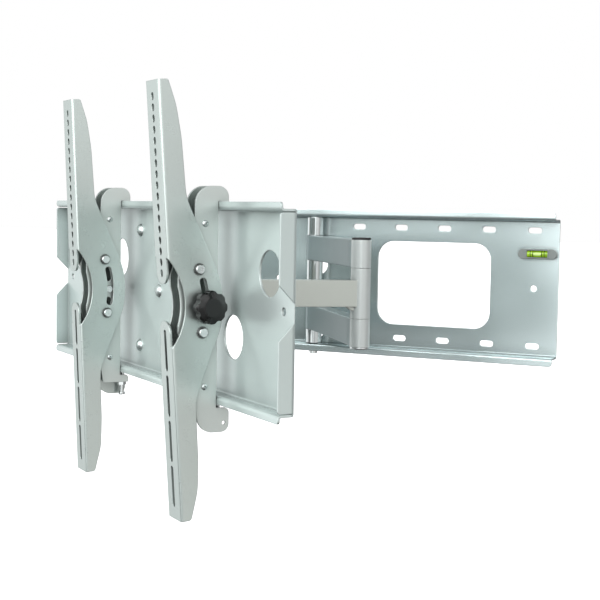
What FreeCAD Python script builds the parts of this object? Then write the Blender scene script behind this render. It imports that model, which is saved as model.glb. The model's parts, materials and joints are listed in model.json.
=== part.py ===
"""Full motion TV wall mount: wall channel, two link arm, TV plate and two hook-on tilt brackets.

Millimetres. +X runs along the wall to the right, +Z is up and the wall is at +Y, so the mount stands
out towards -Y. The origin is on the wall channel's back face, behind the middle of the post. The arms
are part folded.
"""
import FreeCAD, Part
import math
import os

V = FreeCAD.Vector
X_AXIS = V(1, 0, 0)
Y_AXIS = V(0, 1, 0)
Z_AXIS = V(0, 0, 1)

# ---- driving dimensions -------------------------------------------------------------------------
SHEET = 2.5                    # thickness of all pressed sheet steel
BEND = 2.0                     # inside radius of the pressed bends
LIP_CORNER = 4.0               # rounding of the rail lips' corners
GAP = 0.35                     # side gap between pieces that move past each other
RUN = 0.05                     # radial clearance of a pin in its bush
FIT = 0.05                     # gap round a piece that is seated in another
CUT = 60.0                     # reach of a cutting tool past the sheet

# wall channel
WALL_WIDTH = 463.8
WALL_CENTRE_X = 131.6          # the channel reaches further to the right of the post than to the left
WALL_INSIDE = 186.6            # height between the flanges, inside
WALL_DEPTH = 27.0
WALL_LIP = 11.3                # from the flange's inner face to the lip's edge
SLOT_PITCH = 65.8
SLOT_HEIGHT_Z = 80.3           # the two rows of slots are this far above and below the middle
SLOT_LONG = 20.0
SLOT_TALL = 8.5
SLOT_COLUMNS = (-1, 5)         # first and last column of slots, counted from the post
WINDOW_X = 181.5               # middle of the big window
WINDOW_SIZE = (171.0, 121.0)
WINDOW_CORNER = 24.0
END_HOLE_R = 4.5
BACK_HOLE_R = 15.5             # two round holes behind the post
BACK_HOLE_Z = 23.0

# spirit level
LEVEL_X = 334.0
LEVEL_Z = 48.0
LEVEL_SIZE = (55.0, 14.0, 5.2)       # length, height, depth
VIAL_LENGTH = 29.0
VIAL_R = 4.7                   # the vial is half round and lies on the wall plate

# post that carries the arms
POST_Y = -15.5
PIN_R = 6.0
SLEEVE_R = 12.0
WASHER_THICK = 1.2             # thin washers between the sleeves and the arm bosses
BUSH_R = 8.0
POST_BOSS_R = 12.4
NUT_ACROSS = 18.0
POST_NUT_ACROSS = 16.0
NUT_HEIGHT = 7.0

# arms, seen from above: angles turn from +X towards -Y
ARM1_LENGTH = 255.0
ARM1_ANGLE = 51.3
ARM2_LENGTH = 223.0
ARM2_ANGLE = 142.7
ARM_WIDTH = 21.0
KNUCKLE_R = 13.0
UPPER_ARM_Z = (30.0, 66.2)
LOWER_ARM_Z = (-72.2, -35.8)
KNUCKLE_Z = (UPPER_ARM_Z[0] - GAP, LOWER_ARM_Z[1] + GAP)
OUTER_ARM_Z = (-19.8, 14.2)
CAP_HEIGHT = 3.0

# head
HEAD_ANGLE = 126.0             # direction that the TV plate faces
HEAD_TO_FACE = 40.0            # head pin to the front face of the TV plate
HEAD_BOSS_Z = (-28.0, 22.0)
YOKE_SIZE = (156.0, 176.0)
YOKE_THICK = 4.0
EAR_THICK = 5.0
EAR_R = 17.0

# TV plate
PLATE_WIDTH = 722.0
PLATE_INSIDE = 203.8
PLATE_DEPTH = 17.5             # front face of the web to the front face of the rail lips
PLATE_LIP = 9.3
NOTCH_OPEN = 28.0              # half height of the end flange notch at its mouth
NOTCH_ROOT = 10.0
PLATE_CORNER = 5.0             # outside radius of the end flanges' bends
PLATE_HOLE_R = 24.6
PLATE_HOLES = ((304.0, 37.0), (218.0, -37.0), (132.0, 37.0))
SMALL_HOLE_X = 337.0
SMALL_HOLE_R = 4.6
CARRIAGE_BOLTS = ((-63.5, 74.0), (63.5, 74.0), (-63.5, -74.0), (63.5, -74.0), (0.0, 0.0))
CARRIAGE_R = 4.0
CARRIAGE_HEAD_R = 8.3
CARRIAGE_HEAD_HEIGHT = 4.8

# hook channels and tilt brackets: n is the distance in front of the TV plate's web
BRACKET_X = {"right": 201.5, "left": -100.0}
BRACKET_TILT = {"right": 3.8, "left": 2.6}
BRACKET_WIDTH = 36.8
BRACKET_FACE = 76.0            # n of the bracket's front face when it is upright
TILT_N = 132.8                 # the tilt axis lies in front of that face
TILT_Z = -2.6                  # and a little below the middle of the TV plate
ARC_R = 99.0                   # radius of every slot and bolt about the tilt axis
ARC_HALF_WIDTH = 4.2
TILT_RANGE = 12.0
GUIDE_ANGLE = 20.3             # guide bolts, above and below the level line through the axis
GUIDE_R = 3.9
GUIDE_HEAD_R = 5.0
GUIDE_HEAD = 3.6
GUIDE_WASHER_R = 6.6
GUIDE_WASHER_THICK = 1.2
NOTCH_R = 75.0                 # round cut-out of the bracket's sides about the tilt axis
HOOK_NOTCH_R = 72.0
HOOK_WIDTH = 25.0
HOOK_TOP = 128.0
HOOK_BACK = 18.0               # n of the hook channel's back, just clear of the rail lips
BRACKET_TOP = 237.6
BRACKET_BOTTOM = 238.8
SMALL_SLOTS = 17
SMALL_SLOT_TOP = 220.6
SMALL_SLOT_PITCH = 11.8
LONG_SLOTS = 4
LONG_SLOT_TOP = -52.4
LONG_SLOT_PITCH = 50.0
TV_SLOT_WIDTH = 6.5
SMALL_SLOT_LONG = 8.2
LONG_SLOT_LONG = 45.6
TONGUE_END = 20.3

# knobs and lock screws
STUD_R = 3.95
KNOB_R = 18.4
KNOB_LOBES = 8
KNOB_WASHER_R = 7.0
KNOB_HUB = 4.2                 # from the washer to the lobed head
KNOB_HEAD = 14.0
KNOB_EDGE = 3.4                # rounding of the head's rims
LOCK_N = 11.0
LOCK_R = 3.0
FOOT_Z = -124.4                # underside of the bent foot that holds the lock screw
FOOT_BACK = 6.6                # n of the foot's end towards the wall
LOBE_HOLE_R = 2.2
RIVET_R = 2.0
RIVETS = ((33.0, 87.0), (32.0, -91.0))      # n and z of the spreader rivets


# ---- helpers ------------------------------------------------------------------------------------
def unit(dx, dy):
    size = math.hypot(dx, dy)
    return dx / size, dy / size


def outline(corners, place):
    """Closed wire through corners (a, b, radius); place turns (a, b) into a point in space."""
    count = len(corners)
    starts = []
    ends = []
    mids = []
    for i, (a, b, radius) in enumerate(corners):
        before = corners[i - 1]
        after = corners[(i + 1) % count]
        to_before = unit(before[0] - a, before[1] - b)
        to_after = unit(after[0] - a, after[1] - b)
        cosine = to_before[0] * to_after[0] + to_before[1] * to_after[1]
        half = math.acos(max(-1.0, min(1.0, cosine))) / 2
        reach = radius / math.tan(half) if radius else 0.0
        starts.append((a + to_before[0] * reach, b + to_before[1] * reach))
        ends.append((a + to_after[0] * reach, b + to_after[1] * reach))
        if radius:
            middle = unit(to_before[0] + to_after[0], to_before[1] + to_after[1])
            drop = radius / math.sin(half) - radius
            mids.append((a + middle[0] * drop, b + middle[1] * drop))
        else:
            mids.append(None)
    edges = []
    for i in range(count):
        if mids[i]:
            edges.append(Part.Arc(place(*starts[i]), place(*mids[i]), place(*ends[i])).toShape())
        first = place(*ends[i])
        last = place(*starts[(i + 1) % count])
        if first.distanceToPoint(last) > 1e-6:
            edges.append(Part.LineSegment(first, last).toShape())
    return Part.Wire(edges)


def prism(corners, place, along):
    return Part.Face(outline(corners, place)).extrude(along)


def on_plan(z):
    """Outline coordinates are x and y, at the height z."""
    return lambda a, b: V(a, b, z)


def on_side(x):
    """Outline coordinates are the distance in front (n) and z, on the plane of this x."""
    return lambda a, b: V(x, -a, b)


def on_front(y):
    """Outline coordinates are x and z, on the plane of this y."""
    return lambda a, b: V(a, y, b)


def on_upright(y):
    """Outline coordinates are z and x, on the plane of this y: for slots that run up and down."""
    return lambda a, b: V(b, y, a)


def box(low, high):
    return Part.makeBox(high[0] - low[0], high[1] - low[1], high[2] - low[2], V(*low))


def rod(radius, start, along):
    return Part.makeCylinder(radius, along.Length, start, along)


def tube(outer, inner, start, along):
    return rod(outer, start, along).cut(rod(inner, start, along))


def fuse_all(shapes):
    result = shapes[0].multiFuse(shapes[1:]) if len(shapes) > 1 else shapes[0]
    return result.removeSplitter()


def cut_all(shape, tools):
    for tool in tools:
        shape = shape.cut(tool)
    return shape


def hexagon(across, start, along):
    """Hexagonal prism for nuts and bolt heads; along is a straight up or sideways vector."""
    prism_z = Part.Face(Part.makePolygon([
        V(across / math.sqrt(3) * math.cos(math.radians(60 * i)),
          across / math.sqrt(3) * math.sin(math.radians(60 * i)), 0) for i in range(7)
    ])).extrude(V(0, 0, along.Length))
    prism_z.Placement = FreeCAD.Placement(start, FreeCAD.Rotation(Z_AXIS, along))
    return prism_z


def dome(radius, height, start, along):
    """Low domed head whose flat side is at start."""
    ball_r = (radius ** 2 + height ** 2) / (2 * height)
    way = V(along).normalize()
    ball = Part.makeSphere(ball_r, start + way * (height - ball_r))
    return ball.common(rod(radius, start, way * height * 1.5))


def stadium(long, tall, place, along, centre):
    """Slot tool, long in the outline's first coordinate."""
    a, b = centre
    r = tall / 2 * 0.999
    corners = ((a - long / 2, b - tall / 2, r), (a + long / 2, b - tall / 2, r),
               (a + long / 2, b + tall / 2, r), (a - long / 2, b + tall / 2, r))
    return prism(corners, place, along)


def on_arc(radius, angle):
    """Point (n, z) at this radius behind the tilt axis, angle in degrees above the level line."""
    turn = math.radians(angle)
    return TILT_N - radius * math.cos(turn), radius * math.sin(turn)


def arc_slot(first, last, x, along):
    """Slot tool that follows ARC_R about the tilt axis between two angles."""
    place = on_side(x)
    inner = ARC_R - ARC_HALF_WIDTH
    outer = ARC_R + ARC_HALF_WIDTH
    middle = (first + last) / 2
    turn = math.degrees(ARC_HALF_WIDTH / ARC_R)

    def point(radius, angle):
        return place(*on_arc(radius, angle))

    edges = [
        Part.Arc(point(outer, first), point(outer, middle), point(outer, last)).toShape(),
        Part.Arc(point(outer, last), point(ARC_R, last + turn), point(inner, last)).toShape(),
        Part.Arc(point(inner, last), point(inner, middle), point(inner, first)).toShape(),
        Part.Arc(point(inner, first), point(ARC_R, first - turn), point(outer, first)).toShape(),
    ]
    return Part.Face(Part.Wire(edges)).extrude(along)


def edges_where(shape, test):
    return [edge for edge in shape.Edges if test(edge)]


def hat_channel(width, inside, depth, lip):
    """Pressed hat section along X: back face of the web at y = 0, lips at the front."""
    half = inside / 2
    outer_r = BEND + SHEET
    top = half + lip
    corners = (
        (0, half + SHEET, outer_r), (depth - SHEET, half + SHEET, BEND), (depth - SHEET, top, 0.6),
        (depth, top, 0.6), (depth, half, outer_r), (SHEET, half, BEND),
        (SHEET, -half, BEND), (depth, -half, outer_r), (depth, -top, 0.6),
        (depth - SHEET, -top, 0.6), (depth - SHEET, -half - SHEET, BEND), (0, -half - SHEET, outer_r),
    )
    channel = prism(corners, on_side(-width / 2), V(width, 0, 0))
    return cut_all(channel, [lip_corner_tool(side * width / 2, up * top, depth)
                             for side in (-1, 1) for up in (-1, 1)])


def lip_corner_tool(x, z, depth):
    """What is cut from a lip's corner at (x, z) to round it in the front view."""
    inside_x = x - math.copysign(LIP_CORNER, x)
    inside_z = z - math.copysign(LIP_CORNER, z)
    block = box((min(x, inside_x), -depth - 1, min(z, inside_z)),
                (max(x, inside_x), SHEET + 1 - depth, max(z, inside_z)))
    return block.cut(rod(LIP_CORNER, V(inside_x, -depth - 2, inside_z), V(0, SHEET + 4, 0)))


# ---- frames of the moving groups ------------------------------------------------------------------
def heading(angle):
    turn = math.radians(angle)
    return V(math.cos(turn), -math.sin(turn), 0)


POST = V(0, POST_Y, 0)
ELBOW = POST + heading(ARM1_ANGLE) * ARM1_LENGTH
HEAD = ELBOW + heading(ARM2_ANGLE) * ARM2_LENGTH
PLATE_CENTRE = HEAD + heading(HEAD_ANGLE) * HEAD_TO_FACE
HEAD_TURN = 90.0 - HEAD_ANGLE      # the TV plate's own frame is turned this much about +Z


def placed(shape, origin, turn):
    """Turn a shape about +Z and move its own origin to this point."""
    shape = shape.copy()
    shape.rotate(V(0, 0, 0), Z_AXIS, turn)
    shape.translate(origin)
    return shape


def on_plate(shape):
    return placed(shape, PLATE_CENTRE, HEAD_TURN)


def on_head(shape):
    return placed(shape, HEAD, HEAD_TURN)


# ---- wall group -----------------------------------------------------------------------------------
def make_wall_plate():
    plate = hat_channel(WALL_WIDTH, WALL_INSIDE, WALL_DEPTH, WALL_LIP)
    plate.translate(V(WALL_CENTRE_X, 0, 0))
    through = V(0, -CUT, 0)
    face = on_front(CUT / 2)
    tools = []
    first, last = SLOT_COLUMNS
    for column in range(first, last + 1):
        rows = (-1, 1) if column else (-1,)        # the upper row has no slot behind the post
        for row in rows:
            centre = (column * SLOT_PITCH, row * SLOT_HEIGHT_Z)
            tools.append(stadium(SLOT_LONG, SLOT_TALL, face, through, centre))
    half_x = WINDOW_SIZE[0] / 2
    half_z = WINDOW_SIZE[1] / 2
    window = [(WINDOW_X + a * half_x, b * half_z, WINDOW_CORNER)
              for a, b in ((-1, -1), (1, -1), (1, 1), (-1, 1))]
    tools.append(prism(window, face, through))
    for column in SLOT_COLUMNS:
        tools.append(rod(END_HOLE_R, V(column * SLOT_PITCH, CUT / 2, 0), through))
    for side in (-1, 1):
        tools.append(rod(BACK_HOLE_R, V(0, CUT / 2, side * BACK_HOLE_Z), through))
    reach = WALL_INSIDE / 2 + CUT
    tools.append(rod(PIN_R + FIT, V(0, POST_Y, -reach), V(0, 0, 2 * reach)))
    return cut_all(plate, tools)


def make_level():
    """Oval ring on the wall plate, with the half-round vial in its window."""
    long, tall, deep = LEVEL_SIZE
    back = -SHEET - FIT
    half_x, half_z = VIAL_LENGTH / 2, VIAL_R
    body = stadium(long, tall, on_front(back), V(0, -deep, 0), (LEVEL_X, LEVEL_Z))
    rim = edges_where(body, lambda e: abs(e.BoundBox.Center.y - back + deep) < 1e-3)
    body = body.makeChamfer(0.6, rim)
    body = body.cut(box((LEVEL_X - half_x - FIT, back - 2 * deep, LEVEL_Z - half_z - FIT),
                        (LEVEL_X + half_x + FIT, back + 1, LEVEL_Z + half_z + FIT)))
    vial = rod(VIAL_R, V(LEVEL_X - half_x, back, LEVEL_Z), V(VIAL_LENGTH, 0, 0))
    vial = vial.common(box((LEVEL_X - half_x, back - VIAL_R, LEVEL_Z - half_z),
                           (LEVEL_X + half_x, back, LEVEL_Z + half_z)))
    return body, vial


def make_post():
    inner = WALL_INSIDE / 2
    flange = inner + SHEET + FIT
    shoulder_r = 6.9               # narrow enough to stand clear of the bend behind the lip
    shoulder = 2.2
    pin_end = 109.0
    pin = rod(PIN_R, V(0, POST_Y, -pin_end), V(0, 0, pin_end + flange + 0.5))
    collar = rod(shoulder_r, V(0, POST_Y, flange), V(0, 0, shoulder))
    head = dome(8.6, 5.0, V(0, POST_Y, flange + shoulder), Z_AXIS)
    pin = fuse_all([pin, collar, head])
    collar = rod(shoulder_r, V(0, POST_Y, -flange - shoulder), V(0, 0, shoulder))
    nut = hexagon(POST_NUT_ACROSS, V(0, POST_Y, -flange - shoulder - NUT_HEIGHT), V(0, 0, NUT_HEIGHT))
    nut = fuse_all([collar, nut]).cut(rod(PIN_R + FIT, V(0, POST_Y, -CUT * 2), V(0, 0, CUT * 4)))
    bosses = (UPPER_ARM_Z[1], UPPER_ARM_Z[0], LOWER_ARM_Z[1], LOWER_ARM_Z[0])
    gap = GAP + WASHER_THICK + FIT
    end = inner - 0.8              # clear of the bends behind the sleeves' ends
    levels = ((bosses[0] + gap, end), (bosses[2] + gap, bosses[1] - gap), (-end, bosses[3] - gap))
    sleeves = [tube(SLEEVE_R, PIN_R + FIT, V(0, POST_Y, low), V(0, 0, high - low)) for low, high in levels]
    washers = []
    for boss, up in zip(bosses, (1, -1, 1, -1)):
        seat = V(0, POST_Y, boss + up * GAP)
        washers.append(tube(SLEEVE_R + 0.3, PIN_R + FIT, seat, V(0, 0, up * WASHER_THICK)))
    return pin, nut, sleeves, Part.makeCompound(washers)


# ---- arms -----------------------------------------------------------------------------------------
def arm_bar(length, boss_a, boss_b, z_range):
    """Cast bar along +X from a boss at the origin to a boss at its far end."""
    low, high = z_range
    tall = V(0, 0, high - low)
    half = ARM_WIDTH / 2
    flare = 26.0
    corners = ((0, -boss_a + 1, 0), (flare, -half, 30), (length - flare, -half, 30),
               (length, -boss_b + 1, 0), (length, boss_b - 1, 0), (length - flare, half, 30),
               (flare, half, 30), (0, boss_a - 1, 0))
    bar = prism(corners, on_plan(low), tall)
    return fuse_all([bar, rod(boss_a, V(0, 0, low), tall), rod(boss_b, V(length, 0, low), tall)])


def bush_pair(x, z_range, outer, inner):
    """Two plain bushes let into the ends of one bore."""
    low, high = z_range
    depth = min(14.0, (high - low) / 2 - 1)
    return [tube(outer - FIT, inner + RUN, V(x, 0, z), V(0, 0, depth))
            for z in (low + FIT, high - depth - FIT)]


def make_inner_arm():
    arms = []
    bushes = []
    for z_range in (UPPER_ARM_Z, LOWER_ARM_Z):
        bar = arm_bar(ARM1_LENGTH, POST_BOSS_R, KNUCKLE_R, z_range)
        low, high = z_range
        bore = rod(BUSH_R, V(0, 0, low - 1), V(0, 0, high - low + 2))
        pin_hole = rod(PIN_R + FIT, V(ARM1_LENGTH, 0, low - 1), V(0, 0, high - low + 2))
        bar = bar.cut(bore).cut(pin_hole)
        rim = edges_where(bar, lambda e: e.BoundBox.ZLength < 1e-3 and e.Length > 60)
        bar = bar.makeFillet(1.6, rim)
        arms.append(bar)
        bushes += bush_pair(0, z_range, BUSH_R, PIN_R)
    top = UPPER_ARM_Z[1]
    bottom = LOWER_ARM_Z[0]
    pin = rod(PIN_R, V(ARM1_LENGTH, 0, bottom), V(0, 0, top - bottom))
    caps = []
    for z, way in ((top, 1), (bottom, -1)):
        rim_r = KNUCKLE_R - 0.4
        disc = rod(rim_r, V(ARM1_LENGTH, 0, z + way * FIT), V(0, 0, way * CAP_HEIGHT))
        edge = edges_where(disc, lambda e: abs(e.BoundBox.Center.z - z - way * (FIT + CAP_HEIGHT)) < 1e-3
                           and e.BoundBox.ZLength < 1e-3)
        caps.append(disc.makeFillet(1.6, edge))
    group = [placed(shape, POST, -ARM1_ANGLE) for shape in arms + [pin] + caps]
    return group, Part.makeCompound([placed(shape, POST, -ARM1_ANGLE) for shape in bushes])


def make_outer_arm():
    low, high = OUTER_ARM_Z
    bar = arm_bar(ARM2_LENGTH, KNUCKLE_R - 1, KNUCKLE_R - 1, OUTER_ARM_Z)
    knuckle_low, knuckle_high = KNUCKLE_Z[1], KNUCKLE_Z[0]
    knuckle = rod(KNUCKLE_R, V(0, 0, knuckle_low), V(0, 0, knuckle_high - knuckle_low))
    boss = rod(KNUCKLE_R, V(ARM2_LENGTH, 0, HEAD_BOSS_Z[0]), V(0, 0, HEAD_BOSS_Z[1] - HEAD_BOSS_Z[0]))
    web = 8.0
    reach = 21.0
    rise = 5.0
    gussets = []
    for x, way in ((0, 1), (ARM2_LENGTH, -1)):
        corners = ((x, low + 1, 0), (x + way * reach, low + 1, 0), (x + way * reach, low, 0),
                   (x + way * KNUCKLE_R, low - rise, 0), (x, low - rise, 0))
        gussets.append(prism(corners, on_front(-web), V(0, 2 * web, 0)))
    arm = fuse_all([bar, knuckle, boss] + gussets)
    for x in (0, ARM2_LENGTH):
        arm = arm.cut(rod(BUSH_R, V(x, 0, -CUT), V(0, 0, 2 * CUT)))
    elbow_bushes = bush_pair(0, (knuckle_low, knuckle_high), BUSH_R, PIN_R)
    head_bushes = bush_pair(ARM2_LENGTH, HEAD_BOSS_Z, BUSH_R, PIN_R)
    arm = placed(arm, ELBOW, -ARM2_ANGLE)
    groups = [Part.makeCompound([placed(shape, ELBOW, -ARM2_ANGLE) for shape in group])
              for group in (elbow_bushes, head_bushes)]
    return arm, groups[0], groups[1]


# ---- head: yoke and TV plate ----------------------------------------------------------------------
def make_yoke():
    """In the head's own frame: pin on the origin, TV plate towards -Y."""
    back = -HEAD_TO_FACE + SHEET + FIT
    half_x, half_z = YOKE_SIZE[0] / 2, YOKE_SIZE[1] / 2
    corners = [(a * half_x, b * half_z, 14.0) for a, b in ((-1, -1), (1, -1), (1, 1), (-1, 1))]
    parts = [prism(corners, on_front(back), V(0, YOKE_THICK, 0))]
    ear_root = 46.0
    rib = 3.0
    levels = ((HEAD_BOSS_Z[1] + GAP, 1), (HEAD_BOSS_Z[0] - GAP, -1))
    for z, up in levels:
        plan = ((-ear_root, back + 1, 0), (-EAR_R, EAR_R, EAR_R * 0.99), (EAR_R, EAR_R, EAR_R * 0.99),
                (ear_root, back + 1, 0))
        parts.append(prism(plan, on_plan(z), V(0, 0, up * EAR_THICK)))
        outer = z + up * EAR_THICK
        rib_side = ((-back - YOKE_THICK + 1, outer + up * 34, 0), (-back - YOKE_THICK + 1, outer - up, 0),
                    (12.0, outer - up, 0), (12.0, outer + up * 3, 3))
        for x in (-24.0, 24.0 - rib):
            parts.append(prism(rib_side, on_side(x), V(rib, 0, 0)))
    yoke = fuse_all(parts)
    tools = [rod(PIN_R + FIT, V(0, 0, -CUT), V(0, 0, 2 * CUT))]
    for x, z in CARRIAGE_BOLTS:
        tools.append(rod(CARRIAGE_R + FIT, V(x, back - 1, z), V(0, YOKE_THICK + 2, 0)))
    yoke = cut_all(yoke, tools)
    top = HEAD_BOSS_Z[1] + GAP + EAR_THICK
    bottom = HEAD_BOSS_Z[0] - GAP - EAR_THICK
    pin_end = bottom - NUT_HEIGHT - 3.0
    pin = rod(PIN_R, V(0, 0, pin_end), V(0, 0, top + 0.5 - pin_end))
    pin = fuse_all([pin, dome(10.0, 5.0, V(0, 0, top + FIT), Z_AXIS)])
    nut = hexagon(NUT_ACROSS, V(0, 0, bottom - FIT - NUT_HEIGHT), V(0, 0, NUT_HEIGHT))
    nut = nut.cut(rod(PIN_R + FIT, V(0, 0, -CUT), V(0, 0, 2 * CUT)))
    return [on_head(shape) for shape in (yoke, pin, nut)]


def make_tv_plate():
    """In the plate's own frame: front face of the web at y = 0, rails towards -Y."""
    plate = hat_channel(PLATE_WIDTH, PLATE_INSIDE, PLATE_DEPTH + SHEET, PLATE_LIP)
    plate.translate(V(0, SHEET, 0))
    relief = 1.2
    top = PLATE_INSIDE / 2 - relief
    parts = [plate]
    for side in (-1, 1):
        x = side * PLATE_WIDTH / 2 - (SHEET if side > 0 else 0)
        for up in (-1, 1):
            corners = ((-SHEET / 2, up * top, 0), (PLATE_DEPTH, up * top, 3),
                       (PLATE_DEPTH, up * NOTCH_OPEN, 2.5),
                       (0, up * NOTCH_ROOT, 0), (-SHEET / 2, up * NOTCH_ROOT, 0))
            parts.append(prism(corners, on_side(x), V(SHEET, 0, 0)))
    half = PLATE_WIDTH / 2
    reach = PLATE_INSIDE / 2 + CUT
    rounded = prism(((-half, SHEET, PLATE_CORNER), (half, SHEET, PLATE_CORNER), (half, -CUT, 0),
                     (-half, -CUT, 0)),
                    on_plan(-reach), V(0, 0, 2 * reach))
    plate = fuse_all(parts).common(rounded)
    through = V(0, -CUT, 0)
    tools = []
    for x, z in PLATE_HOLES:
        for side in (-1, 1):
            tools.append(rod(PLATE_HOLE_R, V(side * x, CUT / 2, z), through))
    for side in (-1, 1):
        tools.append(rod(SMALL_HOLE_R, V(side * SMALL_HOLE_X, CUT / 2, 0), through))
    for x, z in CARRIAGE_BOLTS:
        tools.append(rod(CARRIAGE_R + FIT, V(x, CUT / 2, z), through))
    return on_plate(cut_all(plate, tools))


def make_carriage_bolts():
    """Domed bolts through the TV plate and the yoke, with their nuts behind."""
    bolts = []
    nuts = []
    behind = SHEET + FIT + YOKE_THICK
    nut_height = 5.5
    for x, z in CARRIAGE_BOLTS:
        shank = rod(CARRIAGE_R, V(x, -0.5, z), V(0, 0.5 + behind + nut_height + 2.0, 0))
        head = dome(CARRIAGE_HEAD_R, CARRIAGE_HEAD_HEIGHT, V(x, -FIT, z), V(0, -1, 0))
        bolts.append(fuse_all([shank, head]))
        nut = hexagon(13.0, V(x, behind + FIT, z), V(0, nut_height, 0))
        nuts.append(nut.cut(rod(CARRIAGE_R + FIT, V(x, 0, z), V(0, CUT, 0))))
    return [on_plate(Part.makeCompound(group)) for group in (bolts, nuts)]


# ---- hook channel and tilt bracket ------------------------------------------------------------------
# One set is built round x = 0 in the TV plate's frame, with the knob towards +X and the tilt axis at z = 0.
# at_axis then lowers what belongs to the axis by TILT_Z. The left set is the mirror image.
def at_axis(shape):
    shape = shape.copy()
    shape.translate(V(0, 0, TILT_Z))
    return shape


def hook_cheek(x, with_lobe):
    """One side of the hook channel: hooks over the top rail lip and passes under the bottom one."""
    lip_back = PLATE_DEPTH - SHEET - 0.6
    lip_edge = PLATE_INSIDE / 2 + PLATE_LIP + 0.5
    rail_top = PLATE_INSIDE / 2 + SHEET + 1.0
    under_lip = -lip_edge - 3.3
    if with_lobe:
        end = ((38.0, -142.0, 19.0), (2.4, -142.0, 9.0), (2.4, under_lip, 6.0), (HOOK_BACK, under_lip, 1.0))
    else:
        end = ((41.0, FOOT_Z, 3.0), (FOOT_BACK, FOOT_Z, 2.0), (FOOT_BACK, under_lip, 4.0),
               (HOOK_BACK, under_lip, 1.0))
    hook = ((HOOK_BACK, lip_edge, 0.8), (lip_back, lip_edge, 0.8), (lip_back, rail_top, 0.8),
            (5.5, rail_top, 3.0), (5.5, HOOK_TOP, 12.0), (44.0, HOOK_TOP, 20.0))
    front = ((46.0, 92.0, 20.0), (64.0, 30.0, 8.0), (64.0, -30.0, 8.0), (46.0, -92.0, 20.0))
    cheek = prism(end + hook + front, on_side(x), V(SHEET, 0, 0))
    before = x - 1
    reach = V(SHEET + 2, 0, 0)
    tools = [rod(HOOK_NOTCH_R, V(before, -TILT_N, 0), reach)]
    for up in (-1, 1):
        low = up * GUIDE_ANGLE - TILT_RANGE
        tools.append(arc_slot(low, low + 2 * TILT_RANGE, before, reach))
    tools.append(rod(STUD_R + FIT, V(before, -on_arc(ARC_R, 0)[0], 0), reach))
    cheek = cut_all(cheek, [at_axis(tool) for tool in tools])
    if with_lobe:
        cheek = cheek.cut(rod(LOBE_HOLE_R, V(before, -8.5, -132.0), reach))
    return cheek


def make_hook_channel():
    """Outer cheek towards +X. The inner cheek carries the bent foot for the lock screw."""
    half = HOOK_WIDTH / 2
    back_half = 98.0
    outer = hook_cheek(half - SHEET, True)
    inner = hook_cheek(-half, False)
    base = box((-half, -HOOK_BACK - SHEET, -back_half), (half, -HOOK_BACK, back_half))
    foot_side = half - SHEET - 0.5
    plan = ((-half, -36.0, 0), (foot_side, -36.0, 3.0), (foot_side, -FOOT_BACK, 8.0), (-half, -FOOT_BACK, 0))
    foot = prism(plan, on_plan(FOOT_Z), V(0, 0, SHEET))
    channel = fuse_all([outer, inner, base, foot])
    channel = channel.cut(rod(LOCK_R + 0.4, V(0, -LOCK_N, FOOT_Z - 1), V(0, 0, SHEET + 2)))
    for n, z in RIVETS:
        channel = channel.cut(rod(RIVET_R, V(-half - 1, -n, z), V(HOOK_WIDTH + 2, 0, 0)))
    return channel


def make_rivets():
    """Tubular spreader rivets that tie the two cheeks together."""
    half = HOOK_WIDTH / 2
    head_r = 3.7
    head = 1.5
    rivets = []
    for n, z in RIVETS:
        shank = rod(RIVET_R - FIT, V(-half - FIT, -n, z), V(HOOK_WIDTH + 2 * FIT, 0, 0))
        spacer = rod(head_r, V(-half + SHEET + FIT, -n, z), V(HOOK_WIDTH - 2 * SHEET - 2 * FIT, 0, 0))
        heads = [dome(head_r, head, V(side * (half + FIT), -n, z), V(side, 0, 0)) for side in (-1, 1)]
        rivet = fuse_all([shank, spacer] + heads)
        for side in (-1, 1):
            rivet = rivet.cut(rod(1.3, V(side * (half + FIT + 0.1), -n, z), V(side * 2 * head, 0, 0)))
        rivets.append(rivet)
    return Part.makeCompound(rivets)


def make_clamp_stud():
    """Stud on the level line of the tilt axis, from the inner cheek out to the knob."""
    n = on_arc(ARC_R, 0)[0]
    half = HOOK_WIDTH / 2
    collar = 3.0
    collar_r = 7.0
    start = -half - 2.6
    end = BRACKET_WIDTH / 2 + 15.5
    stud = rod(STUD_R, V(start, -n, 0), V(end - start, 0, 0))
    collars = [rod(collar_r, V(x, -n, 0), V(collar, 0, 0))
               for x in (-half + SHEET + FIT, half - SHEET - FIT - collar)]
    return fuse_all([stud] + collars)


def make_lock_nut():
    nut = hexagon(10.0, V(0, -LOCK_N, FOOT_Z - FIT - 5.0), V(0, 0, 5.0))
    return nut.cut(rod(LOCK_R + RUN, V(0, -LOCK_N, FOOT_Z - CUT / 2), V(0, 0, CUT)))


def make_lock_screw():
    """Slotted screw with a small round head; its tip stands up behind the bottom rail lip."""
    tip = -106.2
    end = -142.5
    head_r = 4.4
    screw = rod(LOCK_R, V(0, -LOCK_N, end), V(0, 0, tip - end))
    screw = screw.makeChamfer(0.8, edges_where(screw, lambda e: abs(e.BoundBox.Center.z - tip) < 1e-3))
    head = rod(head_r, V(0, -LOCK_N, end), V(0, 0, 4.0))
    head = head.makeFillet(1.0, edges_where(head, lambda e: e.BoundBox.ZLength < 1e-3))
    slot = box((-CUT, -LOCK_N - 0.6, end - 1), (CUT, -LOCK_N + 0.6, end + 1.4))
    return fuse_all([screw, head]).cut(slot)


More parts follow.
